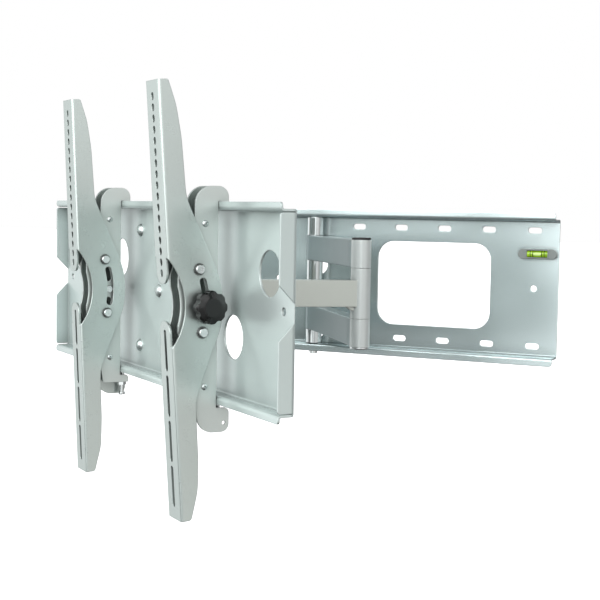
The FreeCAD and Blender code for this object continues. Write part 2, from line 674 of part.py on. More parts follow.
def bracket_side(x):
    """One side sheet of the tilt bracket, upright, with its wave-shaped back edge."""
    top = BRACKET_TOP
    end = BRACKET_BOTTOM
    belly = 62.0
    upper = ((0.0, top, 0.0), (11.4, top, 3.0), (19.2, top - 27.0, 100.0), (23.4, top - 62.0, 200.0),
             (25.4, 112.0, 60.0), (belly, 19.0, 90.0))
    lower = ((0.0, end, 0.0), (12.0, end, 4.0), (21.5, end - 32.0, 75.0), (23.8, end - 68.0, 150.0),
             (24.4, 106.0, 50.0), (belly, 23.0, 90.0))
    corners = [(BRACKET_FACE - deep, z, r) for deep, z, r in upper]
    corners += [(BRACKET_FACE - deep, -z, r) for deep, z, r in reversed(lower)]
    return prism(corners, on_side(x), V(SHEET, 0, 0))


def make_tilt_bracket():
    half = BRACKET_WIDTH / 2
    face = BRACKET_FACE
    outer_r = 3.2
    base = box((-half, -face, -BRACKET_BOTTOM), (half, SHEET - face, BRACKET_TOP))
    sides = [bracket_side(-half), bracket_side(half - SHEET)]
    rounded = prism(((-half, -face, outer_r), (half, -face, outer_r), (half, 0, 0), (-half, 0, 0)),
                    on_plan(-BRACKET_BOTTOM), V(0, 0, BRACKET_BOTTOM + BRACKET_TOP))
    shell = fuse_all([base] + sides).common(rounded)
    shell = shell.cut(rod(NOTCH_R, V(-half - 1, -TILT_N, 0), V(BRACKET_WIDTH + 2, 0, 0)))
    tongue_half = half - outer_r - 1.5
    root = math.sqrt(NOTCH_R ** 2 - (TILT_N - face) ** 2) + 2.0
    tip_r = tongue_half * 0.9
    tongues = []
    for up in (-1, 1):
        corners = ((-tongue_half, up * root, 0), (-tongue_half, up * TONGUE_END, tip_r),
                   (tongue_half, up * TONGUE_END, tip_r), (tongue_half, up * root, 0))
        tongues.append(prism(corners, on_front(-face), V(0, SHEET, 0)))
    shell = fuse_all([shell] + tongues)
    tools = []
    through = V(0, 2 * SHEET, 0)
    place = on_upright(-face - SHEET)
    for i in range(SMALL_SLOTS):
        centre = (SMALL_SLOT_TOP - i * SMALL_SLOT_PITCH, 0.0)
        tools.append(stadium(SMALL_SLOT_LONG, TV_SLOT_WIDTH, place, through, centre))
    for i in range(LONG_SLOTS):
        centre = (LONG_SLOT_TOP - i * LONG_SLOT_PITCH, 0.0)
        tools.append(stadium(LONG_SLOT_LONG, TV_SLOT_WIDTH, place, through, centre))
    across = V(BRACKET_WIDTH + 2, 0, 0)
    tools.append(arc_slot(-TILT_RANGE, TILT_RANGE, -half - 1, across))
    for up in (-1, 1):
        n, z = on_arc(ARC_R, up * GUIDE_ANGLE)
        tools.append(rod(GUIDE_R + FIT, V(-half - 1, -n, z), across))
    return cut_all(shell, tools)


def guide_bolt(start, head_start, way):
    """Shank from inside the hook channel out to a round head with a chamfered rim."""
    shank = rod(GUIDE_R, start, head_start - start)
    head = rod(GUIDE_HEAD_R, head_start, way * GUIDE_HEAD)
    outside = head_start.x + way.x * GUIDE_HEAD
    rim = edges_where(head, lambda e: abs(e.BoundBox.Center.x - outside) < 1e-3)
    return fuse_all([shank, head.makeChamfer(0.6, rim)])


def toothed_washer(start, way):
    """Washer with notches all round its rim."""
    thick = GUIDE_WASHER_THICK
    teeth = 14
    notch_deep = 1.2
    washer = tube(GUIDE_WASHER_R, GUIDE_R + FIT, start, way * thick)
    centre = V(0, start.y, start.z)
    for i in range(teeth):
        notch = box((start.x - 2 * thick, start.y - 0.5, start.z + GUIDE_WASHER_R - notch_deep),
                    (start.x + 2 * thick, start.y + 0.5, start.z + GUIDE_WASHER_R + 1))
        notch.rotate(centre, X_AXIS, 360 / teeth * i)
        washer = washer.cut(notch)
    return washer


def make_guides():
    """Guide bolts, toothed washers and their inner nuts, on both sides of the bracket."""
    washer_face = BRACKET_WIDTH / 2 + FIT
    head_face = washer_face + GUIDE_WASHER_THICK + FIT
    nut_face = HOOK_WIDTH / 2 - SHEET - 0.5
    nut_end = nut_face - 2.8
    nut_r = 6.2
    bolts = []
    washers = []
    nuts = []
    for up in (-1, 1):
        n, z = on_arc(ARC_R, up * GUIDE_ANGLE)
        for side in (-1, 1):
            way = V(side, 0, 0)
            end = V(side * nut_end, -n, z)
            bolts.append(guide_bolt(end, V(side * head_face, -n, z), way))
            nuts.append(tube(nut_r, GUIDE_R + FIT, end, way * (nut_face - nut_end)))
            washers.append(toothed_washer(V(side * washer_face, -n, z), way))
    return [Part.makeCompound(group) for group in (bolts, washers, nuts)]


def knob_star(start, n):
    """Eight round lobes with hollows between them, as a straight prism."""
    lobe_r = 5.4
    hollow_r = 4.0
    ring = KNOB_R - lobe_r
    hollow_ring = KNOB_R + 1.3
    along = V(KNOB_HEAD, 0, 0)
    step = 2 * math.pi / KNOB_LOBES
    lobes = [rod(KNOB_R - 2.0, V(start, -n, 0), along)]
    hollows = []
    for i in range(KNOB_LOBES):
        turn = step * i
        lobes.append(rod(lobe_r, V(start, ring * math.cos(turn) - n, ring * math.sin(turn)), along))
        turn += step / 2
        hollows.append(rod(hollow_r, V(start, hollow_ring * math.cos(turn) - n, hollow_ring * math.sin(turn)),
                           along))
    return cut_all(fuse_all(lobes), hollows)


def make_knob():
    """Clamp knob on the stud outside the bracket, its brass insert and the washer under it."""
    n = on_arc(ARC_R, 0)[0]
    washer_face = BRACKET_WIDTH / 2 + GAP
    washer_thick = 1.5
    start = washer_face + washer_thick + FIT
    base = start + KNOB_HUB
    top = base + KNOB_HEAD
    crown_r = 10.5
    crown = 3.0
    profile = ((base, 0, 0), (base, KNOB_R, 2.0), (top - crown, KNOB_R, KNOB_EDGE), (top, crown_r, 6.0),
               (top, 0, 0))
    turned = Part.Face(outline(profile, on_plan(0))).revolve(V(0, 0, 0), X_AXIS, 360)
    turned.translate(V(0, -n, 0))
    hub = Part.makeCone(6.6, 9.4, KNOB_HUB + 1, V(start, -n, 0), X_AXIS)
    insert_r = 5.6
    depth = 15.0
    knob = fuse_all([knob_star(base, n).common(turned), hub])
    knob = knob.cut(rod(insert_r, V(start - 1, -n, 0), V(depth + 1, 0, 0)))
    insert = tube(insert_r - FIT, STUD_R + RUN, V(start, -n, 0), V(depth - FIT, 0, 0))
    washer = tube(KNOB_WASHER_R, STUD_R + RUN, V(washer_face, -n, 0), V(washer_thick, 0, 0))
    return knob, insert, washer


def bracket_set(side):
    """Every piece of one bracket, by name, in its place."""
    pieces = {
        "hook_channel": make_hook_channel(), "cheek_rivets": make_rivets(),
        "lock_nut": make_lock_nut(), "lock_screw": make_lock_screw(),
    }
    level = {"clamp_stud": make_clamp_stud()}
    level["knob"], level["knob_insert"], level["knob_washer"] = make_knob()
    tilted = {"tilt_bracket": make_tilt_bracket()}
    tilted["guide_bolts"], tilted["toothed_washers"], tilted["guide_nuts"] = make_guides()
    for shape in tilted.values():
        shape.rotate(V(0, -TILT_N, 0), X_AXIS, BRACKET_TILT[side])
    for name, shape in list(level.items()) + list(tilted.items()):
        pieces[name] = at_axis(shape)
    placed_pieces = {}
    for name, shape in pieces.items():
        if side == "left":
            shape = shape.mirror(V(0, 0, 0), X_AXIS)
        shape.translate(V(BRACKET_X[side], 0, 0))
        placed_pieces[name + "_" + side] = on_plate(shape)
    return placed_pieces


# ---- the whole mount --------------------------------------------------------------------------------
def build():
    nodes = {"wall_plate": make_wall_plate()}
    nodes["level_body"], nodes["level_vial"] = make_level()
    nodes["post_pin"], nodes["post_nut"], sleeves, nodes["post_washers"] = make_post()
    for name, shape in zip(("top", "middle", "bottom"), sleeves):
        nodes["post_sleeve_" + name] = shape
    inner, bushes = make_inner_arm()
    inner_names = ("inner_arm_upper", "inner_arm_lower", "elbow_pin", "elbow_cap_top", "elbow_cap_bottom")
    nodes.update(zip(inner_names, inner))
    nodes["post_bushes"] = bushes
    nodes["outer_arm"], nodes["elbow_bushes"], nodes["head_bushes"] = make_outer_arm()
    nodes["head_yoke"], nodes["head_pin"], nodes["head_pin_nut"] = make_yoke()
    nodes["tv_plate"] = make_tv_plate()
    nodes["carriage_bolts"], nodes["carriage_nuts"] = make_carriage_bolts()
    for side in BRACKET_X:
        nodes.update(bracket_set(side))
    return nodes


os.makedirs("parts", exist_ok=True)
for node_name, node_shape in build().items():
    node_shape.exportStep(os.path.join("parts", node_name + ".step"))
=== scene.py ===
"""Looks of a full motion TV wall mount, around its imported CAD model."""

import json
import math

import bpy
from mathutils import Matrix, Vector


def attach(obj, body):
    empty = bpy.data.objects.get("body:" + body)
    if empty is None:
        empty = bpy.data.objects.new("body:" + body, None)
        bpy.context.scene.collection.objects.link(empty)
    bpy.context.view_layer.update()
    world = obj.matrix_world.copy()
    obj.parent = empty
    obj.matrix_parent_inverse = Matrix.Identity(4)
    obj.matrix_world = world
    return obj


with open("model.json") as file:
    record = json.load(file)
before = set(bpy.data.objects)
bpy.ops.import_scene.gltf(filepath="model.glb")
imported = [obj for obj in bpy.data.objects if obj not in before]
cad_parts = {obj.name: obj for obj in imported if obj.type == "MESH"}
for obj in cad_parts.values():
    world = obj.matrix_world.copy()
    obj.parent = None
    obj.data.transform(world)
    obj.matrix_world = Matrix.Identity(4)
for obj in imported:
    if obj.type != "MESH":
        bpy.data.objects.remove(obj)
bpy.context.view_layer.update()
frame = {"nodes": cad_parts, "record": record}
NODES = frame["nodes"]
JOINTS = {joint["name"]: joint for joint in frame["record"]["behaviour"]["joints"]}


# ---------------------------------------------------------------- material kit

def new_material(name):
    """A named material with an empty node tree."""
    material = bpy.data.materials.new(name)
    material.use_nodes = True
    tree = material.node_tree
    tree.nodes.clear()
    return material, tree


def add(tree, kind, **settings):
    node = tree.nodes.new(kind)
    for key, value in settings.items():
        setattr(node, key, value)
    return node


def noise(tree, coords, scale, detail=3.0, roughness=0.5, stretch=None):
    """A noise texture in object metres; a stretch below 1 draws it out along that axis."""
    source = coords
    if stretch:
        mapping = add(tree, "ShaderNodeMapping")
        mapping.inputs["Scale"].default_value = stretch
        tree.links.new(coords, mapping.inputs["Vector"])
        source = mapping.outputs["Vector"]
    node = add(tree, "ShaderNodeTexNoise")
    node.inputs["Scale"].default_value = scale
    node.inputs["Detail"].default_value = detail
    node.inputs["Roughness"].default_value = roughness
    tree.links.new(source, node.inputs["Vector"])
    return node.outputs["Fac"]


def remap(tree, value, low, high, to_low, to_high):
    node = add(tree, "ShaderNodeMapRange", clamp=True)
    node.inputs["From Min"].default_value = low
    node.inputs["From Max"].default_value = high
    node.inputs["To Min"].default_value = to_low
    node.inputs["To Max"].default_value = to_high
    tree.links.new(value, node.inputs["Value"])
    return node.outputs["Result"]


def mix_colour(tree, factor, first, second, blend="MIX"):
    """Mix two colours; the factor is a number or a socket, and each colour is a tuple or a socket."""
    node = add(tree, "ShaderNodeMix", data_type="RGBA", blend_type=blend)
    inputs = [s for s in node.inputs if s.type == "RGBA"]
    for socket, value in zip(inputs, (first, second)):
        if isinstance(value, tuple):
            socket.default_value = (*value, 1.0)
        else:
            tree.links.new(value, socket)
    factor_in = next(s for s in node.inputs if s.name == "Factor" and s.type == "VALUE")
    if isinstance(factor, float):
        factor_in.default_value = factor
    else:
        tree.links.new(factor, factor_in)
    return next(s for s in node.outputs if s.type == "RGBA")


def maths(tree, operation, first, second):
    node = add(tree, "ShaderNodeMath", operation=operation)
    for socket, value in zip(node.inputs, (first, second)):
        if isinstance(value, float):
            socket.default_value = value
        else:
            tree.links.new(value, socket)
    return node.outputs["Value"]


def edge_mask(tree, radius, low=0.90, high=0.995):
    """1 on convex and concave edges narrower than the radius, 0 on open faces."""
    bevel = add(tree, "ShaderNodeBevel", samples=4)
    bevel.inputs["Radius"].default_value = radius
    geometry = add(tree, "ShaderNodeNewGeometry")
    dot = add(tree, "ShaderNodeVectorMath", operation="DOT_PRODUCT")
    tree.links.new(bevel.outputs["Normal"], dot.inputs[0])
    tree.links.new(geometry.outputs["Normal"], dot.inputs[1])
    return remap(tree, dot.outputs["Value"], low, high, 1.0, 0.0)


def corner_shade_mask(tree, distance):
    """1 in inside corners and folds that are narrower than the distance, 0 on open faces."""
    node = add(tree, "ShaderNodeAmbientOcclusion", samples=8)
    node.inputs["Distance"].default_value = distance
    return remap(tree, node.outputs["AO"], 0.35, 0.95, 1.0, 0.0)


def rounded_normal(tree, radius):
    """The surface normal turned gradually over sharp edges, as a thick paint film does."""
    bevel = add(tree, "ShaderNodeBevel", samples=6)
    bevel.inputs["Radius"].default_value = radius
    return bevel.outputs["Normal"]


def bump(tree, height, strength, distance, normal=None):
    node = add(tree, "ShaderNodeBump")
    node.inputs["Strength"].default_value = strength
    node.inputs["Distance"].default_value = distance
    tree.links.new(height, node.inputs["Height"])
    if normal is not None:
        tree.links.new(normal, node.inputs["Normal"])
    return node.outputs["Normal"]


def shader(tree, **values):
    node = add(tree, "ShaderNodeBsdfPrincipled")
    output = add(tree, "ShaderNodeOutputMaterial")
    tree.links.new(node.outputs["BSDF"], output.inputs["Surface"])
    for key, value in values.items():
        socket = node.inputs[key.replace("_", " ")]
        if isinstance(value, bpy.types.NodeSocket):
            tree.links.new(value, socket)
        elif isinstance(value, tuple):
            socket.default_value = (*value, 1.0)
        else:
            socket.default_value = value
    return node


def object_coords(tree):
    return add(tree, "ShaderNodeTexCoord").outputs["Object"]


# ------------------------------------------------------------------- materials

FLAKE_SHADE = (0.94, 0.945, 0.945)       # how far the paint's flakes darken its colour
# Bright edge colour: partly bare worn paint, partly a painted highlight.
WORN_AND_HIGHLIT_EDGE = (0.92, 0.93, 0.92)
SHADED_CORNER_REACH = 0.024                     # inside corners narrower than this get painted shade
PAINT_FILM = 0.0011                      # radius that the paint gives to sharp edges


def silver_paint(name, colour, dark, roughness, metallic, coat, corner_shade_depth=0.8):
    """Metallic silver powder coat: fine flake, faint orange peel, painted shade in corners, and bright edges
    that are partly wear and partly a painted highlight.

    The colour drifts slowly between colour and dark, and the last argument sets how dark the painted shade in
    the corners is, 0 to 1.
    """
    material, tree = new_material(name)
    coords = object_coords(tree)
    flake = noise(tree, coords, 2600.0, 1.0)
    peel = noise(tree, coords, 420.0, 2.0)
    cloud = noise(tree, coords, 9.0, 4.0, 0.6)
    handling = noise(tree, coords, 55.0, 5.0, 0.65)
    base = mix_colour(tree, remap(tree, cloud, 0.3, 0.7, 0.0, 1.0), dark, colour)
    sparkle = mix_colour(tree, remap(tree, flake, 0.30, 0.72, 0.0, 1.0), FLAKE_SHADE, (1.0, 1.0, 1.0))
    multiplied = mix_colour(tree, 1.0, base, sparkle, "MULTIPLY")
    # Painted shade: inside corners and folds are darkened towards a dark tone.
    corner_shade_tone = tuple(0.42 * part for part in dark)
    corner_shade_share = maths(tree, "MULTIPLY", corner_shade_mask(tree, SHADED_CORNER_REACH), corner_shade_depth)
    corner_shaded = mix_colour(tree, corner_shade_share, multiplied, corner_shade_tone)
    # Bright edges: partly wear, partly a painted highlight.
    edges = edge_mask(tree, 0.0007)
    wear_and_highlight = maths(tree, "MULTIPLY", edges, remap(tree, handling, 0.45, 0.75, 0.15, 0.55))
    final = mix_colour(tree, wear_and_highlight, corner_shaded, WORN_AND_HIGHLIT_EDGE)
    rough = remap(tree, maths(tree, "ADD", handling, flake), 0.6, 1.4, roughness - 0.01, roughness + 0.01)
    height = maths(tree, "ADD", peel, maths(tree, "MULTIPLY", flake, 0.35))
    shader(
        tree,
        Base_Color=final,
        Metallic=metallic,
        Roughness=rough,
        Coat_Weight=coat,
        Coat_Roughness=0.12,
        Normal=bump(tree, height, 0.03, 0.00006, rounded_normal(tree, PAINT_FILM)),
    )
    return material


def bright_metal(name, colour, roughness, brush, spots, shade_reach=0.0):
    """Plated steel: fine polishing lines, faint stains, and painted shade in corners narrower than the last
    argument.
    """
    material, tree = new_material(name)
    coords = object_coords(tree)
    lines = noise(tree, coords, 900.0, 2.0, 0.5, brush)
    stains = noise(tree, coords, 160.0, 4.0, 0.6)
    tone = mix_colour(tree, remap(tree, stains, 0.42, 0.72, 0.0, spots),
                      colour, tuple(0.72 * c for c in colour))
    # Painted shade: corners and recesses narrower than the reach are darkened.
    if shade_reach:
        tone = mix_colour(tree, corner_shade_mask(tree, shade_reach), tone, tuple(0.06 * c for c in colour))
    rough = remap(tree, maths(tree, "ADD", lines, stains), 0.6, 1.4, roughness * 0.7, roughness * 1.5)
    shader(
        tree,
        Base_Color=tone,
        Metallic=1.0,
        Roughness=rough,
        Normal=bump(tree, lines, 0.12, 0.00005, rounded_normal(tree, 0.0003)),
    )
    return material


def moulded(name, colour, roughness, grain):
    """Injection-moulded plastic with a fine spark-eroded grain and rubbed edges."""
    material, tree = new_material(name)
    coords = object_coords(tree)
    fine = noise(tree, coords, 2200.0, 2.0)
    smear = noise(tree, coords, 70.0, 4.0, 0.6)
    edges = edge_mask(tree, 0.0006)
    rubbed = maths(tree, "MULTIPLY", edges, remap(tree, smear, 0.4, 0.7, 0.05, 0.6))
    light = tuple(min(1.0, c * 1.6 + 0.03) for c in colour)
    rough = remap(tree, maths(tree, "ADD", fine, smear), 0.6, 1.4, roughness - 0.07, roughness + 0.1)
    shader(
        tree,
        Base_Color=mix_colour(tree, rubbed, colour, light),
        Roughness=rough,
        Normal=bump(tree, fine, grain, 0.00008),
    )
    return material


def glowing_green_liquid(name):
    """Tinted vial whose colour changes slowly, as if with the liquid's depth, and which glows faintly:
    painted light.
    """
    material, tree = new_material(name)
    depth = noise(tree, object_coords(tree), 120.0, 2.0)
    tint = mix_colour(tree, remap(tree, depth, 0.35, 0.65, 0.0, 1.0), (0.26, 0.46, 0.01), (0.42, 0.68, 0.03))
    shader(
        tree,
        Base_Color=tint,
        Roughness=remap(tree, depth, 0.3, 0.7, 0.06, 0.14),
        Coat_Weight=1.0,
        Coat_Roughness=0.03,
        # Painted light: a faint green glow.
        Emission_Color=(0.30, 0.55, 0.02),
        Emission_Strength=0.12,
    )
    return material


SILVER = silver_paint(
    "silver_powder_coat", colour=(0.67, 0.73, 0.705), dark=(0.63, 0.685, 0.66),
    roughness=0.28, metallic=0.86, coat=0.12)
PLATE_SILVER = silver_paint(
    "silver_tv_plate_coat", colour=(0.69, 0.765, 0.75), dark=(0.67, 0.745, 0.73),
    roughness=0.25, metallic=0.48, coat=0.15)
# A lighter copy of the silver paint: painted light on the wall plate.
LIT_WALL_SILVER = silver_paint(
    "silver_wall_plate_coat_lit", colour=(0.83, 0.93, 0.935), dark=(0.80, 0.90, 0.905),
    roughness=0.22, metallic=0.88, coat=0.1)
# A darker copy of the silver paint: painted shade on the inner arms.
SHADED_INNER_SILVER = silver_paint(
    "silver_inner_arm_coat_shaded", colour=(0.31, 0.365, 0.37), dark=(0.285, 0.335, 0.34),
    roughness=0.30, metallic=0.9, coat=0.1)
OUTER_SILVER = silver_paint(
    "silver_outer_arm_coat", colour=(0.60, 0.62, 0.575), dark=(0.57, 0.59, 0.545),
    roughness=0.34, metallic=0.7, coat=0.15)
KNUCKLE_SILVER = silver_paint(
    "silver_knuckle_coat", colour=(0.68, 0.71, 0.70), dark=(0.65, 0.68, 0.67),
    roughness=0.32, metallic=0.35, coat=0.2)
# A lighter copy with less painted corner shade: painted light on the cheeks seen through the brackets' slots.
LIGHTER_CHEEK_SILVER = silver_paint(
    "silver_cheek_coat_lit", colour=(0.70, 0.745, 0.72), dark=(0.67, 0.715, 0.69),
    roughness=0.34, metallic=0.65, coat=0.15, corner_shade_depth=0.4)

ALONG_X = (0.25, 1.0, 1.0)               # polishing lines that run along X
CHROME = bright_metal("chrome_plate", (0.74, 0.77, 0.77), roughness=0.09, brush=(1.0, 1.0, 0.15), spots=0.25)
ZINC = bright_metal("zinc_plate", (0.90, 0.92, 0.92), roughness=0.20, brush=ALONG_X, spots=0.4)
# Painted shade in the narrow corners of the rivets and carriage bolts.
DULL_ZINC = bright_metal(
    "dull_zinc_plate", (0.68, 0.73, 0.72), roughness=0.28, brush=ALONG_X, spots=0.5, shade_reach=0.0011)
# Painted shade on the toothed washers, darkest next to the bolt heads.
SPRING_STEEL = bright_metal(
    "spring_steel", (0.30, 0.31, 0.30), roughness=0.25, brush=ALONG_X, spots=0.5, shade_reach=0.004)
BRASS = bright_metal("turned_brass", (0.78, 0.60, 0.30), roughness=0.22, brush=(1.0, 1.0, 0.2), spots=0.4)

BLACK = moulded("black_moulded_plastic", (0.007, 0.007, 0.007), roughness=0.16, grain=0.2)
GREY = moulded("grey_level_plastic", (0.24, 0.26, 0.25), roughness=0.32, grain=0.2)
NYLON = moulded("natural_nylon", (0.78, 0.77, 0.72), roughness=0.4, grain=0.2)
BUBBLE = moulded("air_bubble", (0.70, 0.92, 0.30), roughness=0.12, grain=0.05)
VIAL = glowing_green_liquid("green_vial")

BY_SLOT = {
    "silver_paint": SILVER,
    "chrome": CHROME,
    "zinc_steel": ZINC,
    "black_plastic": BLACK,
    "grey_plastic": GREY,
    "green_vial": VIAL,
    "nylon": NYLON,
    "brass_insert": BRASS,
}

# Nodes whose finish differs from the rest of their slot; the wall plate's lighter copy and the inner arms'
# darker copy are painted light and painted shade.
BY_NODE = {
    "tv_plate": PLATE_SILVER,
    "wall_plate": LIT_WALL_SILVER,
    "inner_arm_upper": SHADED_INNER_SILVER,
    "inner_arm_lower": SHADED_INNER_SILVER,
    "outer_arm": OUTER_SILVER,
    "toothed_washers_right": SPRING_STEEL,
    "toothed_washers_left": SPRING_STEEL,
    "cheek_rivets_right": DULL_ZINC,
    "cheek_rivets_left": DULL_ZINC,
    "carriage_bolts": DULL_ZINC,
}

KNUCKLE_RADIUS = 0.0134                  # just outside the arms' knuckles
SHEET_FACE = 0.0002                      # a face this close to the hook channel's side belongs to it


def dress_cad_nodes():
    for part in frame["record"]["subparts"]:
        obj = NODES[part["node"]]
        material = BY_NODE.get(part["node"], BY_SLOT[part["material_slot"]])
        for slot in obj.material_slots:
            slot.material = material
        if not obj.material_slots:
            obj.data.materials.append(material)


def repaint(obj, material, chosen):
    """Give a second material to the faces whose middle, in the frame's metres, passes the test."""
    obj.data.materials.append(material)
    for polygon in obj.data.polygons:
        if chosen(obj.matrix_world @ polygon.center):
            polygon.material_index = len(obj.data.materials) - 1


def brighten_knuckles():
    """The turned knuckles at the elbow are brighter than the rolled bars."""
    elbow = Vector(JOINTS["elbow"]["pos_m"]).to_2d()
    for name in ("inner_arm_upper", "inner_arm_lower", "outer_arm"):
        repaint(NODES[name], KNUCKLE_SILVER, lambda centre: (centre.to_2d() - elbow).length < KNUCKLE_RADIUS)


def lighten_cheeks():
    """The outsides of the hook channels' cheeks get a lighter copy of the paint with less painted corner
    shade: painted light where they show through the brackets' slots.
    """
    for side in ("right", "left"):
        hook = NODES["hook_channel_" + side]
        across = Vector(JOINTS["rail_slide_" + side]["axis"])
        reach = [across.dot(hook.matrix_world @ vertex.co) for vertex in hook.data.vertices]
        inner = min(reach) + SHEET_FACE
        outer = max(reach) - SHEET_FACE
        repaint(hook, LIGHTER_CHEEK_SILVER, lambda centre: not inner <= across.dot(centre) <= outer)


dress_cad_nodes()
brighten_knuckles()
lighten_cheeks()


# --------------------------------------------------------------- added details

def new_piece(name, points, faces, material, body, smooth=True):
    """A mesh piece that belongs to the object and moves with one body."""
    mesh = bpy.data.meshes.new(name)
    mesh.from_pydata(points, [], faces)
    mesh.validate()
    for polygon in mesh.polygons:
        polygon.use_smooth = smooth
    mesh.materials.append(material)
    piece = bpy.data.objects.new(name, mesh)
    bpy.context.scene.collection.objects.link(piece)
    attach(piece, body)
    return piece


LEVEL_CENTRE = Vector((0.334, -0.00305, 0.048))      # middle of the half-round vial's flat back
VIAL_RADIUS = 0.0047
LINE_PLACES = (-0.0098, -0.0064, 0.0064, 0.0098)     # along the vial
LINE_WIDTH = 0.0007
LINE_HEIGHT = 0.00025


def vial_line(name, x):
    """A thin hoop most of the way over the half-round vial."""
    steps = 20
    sunk = 0.0002
    points = []
    for side in (-LINE_WIDTH / 2, LINE_WIDTH / 2):
        for radius in (VIAL_RADIUS - sunk, VIAL_RADIUS + LINE_HEIGHT):
            for i in range(steps + 1):
                turn = math.pi * (0.06 + 0.88 * i / steps)
                points.append((LEVEL_CENTRE.x + x + side, LEVEL_CENTRE.y - radius * math.sin(turn),
                               LEVEL_CENTRE.z + radius * math.cos(turn)))
    row = steps + 1
    faces = []
    for i in range(steps):
        faces.append((i, i + 1, row + i + 1, row + i))
        faces.append((2 * row + i, 3 * row + i, 3 * row + i + 1, 2 * row + i + 1))
        faces.append((row + i, row + i + 1, 3 * row + i + 1, 3 * row + i))
        faces.append((i, 2 * row + i, 2 * row + i + 1, i + 1))
    for i in (0, steps):
        faces.append((i, row + i, 3 * row + i, 2 * row + i))
    new_piece(name, points, faces, BLACK, "wall", smooth=False)


def vial_bubble():
    """The air bubble, a long flat dome that lies on the vial's upper front side."""
    rings, steps = 10, 32
    half_long, half_tall = 0.0056, 0.0024
    rise = 0.0004
    rim_sunk = 0.00005
    points = [tuple(LEVEL_CENTRE + Vector((0.0, -VIAL_RADIUS - rise, 0.0)))]
    for ring in range(1, rings + 1):
        share = ring / rings
        for i in range(steps):
            turn = 2 * math.pi * i / steps
            x = half_long * share * math.copysign(abs(math.cos(turn)) ** 0.8, math.cos(turn))
            z = half_tall * share * math.sin(turn)
            out = math.sqrt(VIAL_RADIUS ** 2 - z ** 2) + rise * math.sqrt(1.0 - share ** 2) - rim_sunk * share
            points.append((LEVEL_CENTRE.x + x, LEVEL_CENTRE.y - out, LEVEL_CENTRE.z + z))
    faces = [(0, 1 + (i + 1) % steps, 1 + i) for i in range(steps)]
    for ring in range(rings - 1):
        start = 1 + ring * steps
        for i in range(steps):
            j = (i + 1) % steps
            faces.append((start + i, start + j, start + steps + j, start + steps + i))
    new_piece("level_bubble", points, faces, BUBBLE, "wall")


def level_bezel():
    """A raised lip round the level's window."""
    outer_x, outer_z = 0.0166, 0.0062
    inner_x, inner_z = 0.0148, 0.0048
    depth = 0.0007
    ease = 0.0003                        # how far the front edges are cut back
    front = LEVEL_CENTRE.y - 0.0052
    shoulder = front - depth * 0.6
    corner_steps = 6
    loops = []
    for half_x, half_z, radius, y in (
        (outer_x, outer_z, 0.0022, front + ease),
        (outer_x, outer_z, 0.0022, shoulder),
        (outer_x - ease, outer_z - ease, 0.002, front - depth),
        (inner_x + ease, inner_z + ease, 0.0012, front - depth),
        (inner_x, inner_z, 0.001, shoulder),
        (inner_x, inner_z, 0.001, front + 4 * ease),
    ):
        loop = []
        for sx, sz, first in ((1, 1, 0), (-1, 1, 1), (-1, -1, 2), (1, -1, 3)):
            for i in range(corner_steps + 1):
                turn = math.pi / 2 * (first + i / corner_steps)
                loop.append((LEVEL_CENTRE.x + sx * (half_x - radius) + radius * math.cos(turn), y,
                             LEVEL_CENTRE.z + sz * (half_z - radius) + radius * math.sin(turn)))
        loops.append(loop)
    count = len(loops[0])
    points = [point for loop in loops for point in loop]
    faces = []
    for row in range(len(loops)):
        here, there = row * count, (row + 1) % len(loops) * count
        for i in range(count):
            j = (i + 1) % count
            faces.append((here + i, here + j, there + j, there + i))
    new_piece("level_bezel", points, faces, GREY, "wall", smooth=False)


for index, place in enumerate(LINE_PLACES):
    vial_line("level_line_%d" % (index + 1), place)
vial_bubble()
level_bezel()


# ----------------------------------------------------------------------- stage

def make_floor():
    """A plain pale floor well below the mount, which hangs on a wall. The mount doesn't mirror it."""
    half, level = 30.0, -0.62
    corners = [(-half, -half, level), (half, -half, level), (half, half, level), (-half, half, level)]
    mesh = bpy.data.meshes.new("floor")
    mesh.from_pydata(corners, [], [(0, 1, 2, 3)])
    floor = bpy.data.objects.new("floor", mesh)
    bpy.context.scene.collection.objects.link(floor)
    material, tree = new_material("pale_floor")
    grain = noise(tree, object_coords(tree), 3.0, 3.0)
    shader(
        tree,
        Base_Color=mix_colour(tree, grain, (0.92, 0.92, 0.92), (0.95, 0.95, 0.95)),
        Roughness=0.9,
        Emission_Color=(1.0, 1.0, 1.0),
        Emission_Strength=0.75,
    )
    floor.data.materials.append(material)
    floor.visible_glossy = False
    floor.visible_diffuse = False


# Broad soft panels round the mount: direction, colour, reach (1 = right round to the far side) and
# strength. The one with a negative strength is a black flag, which takes light away.
PANELS = (
    ((-1.00, 0.10, 0.02), (0.96, 1.00, 1.00), 0.50, 0.48),
    ((-1.00, -0.05, -0.05), (0.97, 1.00, 1.00), 0.04, 0.50),
    ((1.00, -0.14, 0.50), (1.00, 1.00, 1.00), 0.12, 0.78),
    ((1.00, -0.14, -0.45), (1.00, 0.98, 0.94), 0.05, 0.70),
    ((1.00, -0.14, -0.06), (1.00, 1.00, 1.00), 0.03, -0.25),
    ((0.75, -0.65, 0.00), (1.00, 0.98, 0.93), 0.08, 0.10),
    ((-0.15, -0.95, 0.20), (0.96, 1.00, 1.00), 0.22, 1.70),
    ((0.00, -1.00, 0.16), (0.96, 1.00, 1.00), 0.04, 0.80),
    ((0.45, -0.88, 0.10), (0.98, 1.00, 1.00), 0.25, 0.60),
    ((0.00, 0.00, 1.00), (0.96, 0.99, 1.00), 0.55, 0.15),
)
AMBIENT = (0.2328, 0.24, 0.24)   # light from every side
TABLE_SHADE = 0.95               # a dark table in front: how much of the light from low in front it takes
FLOOR_SHADE = 0.75               # and how much of the light from straight below the dark floor takes


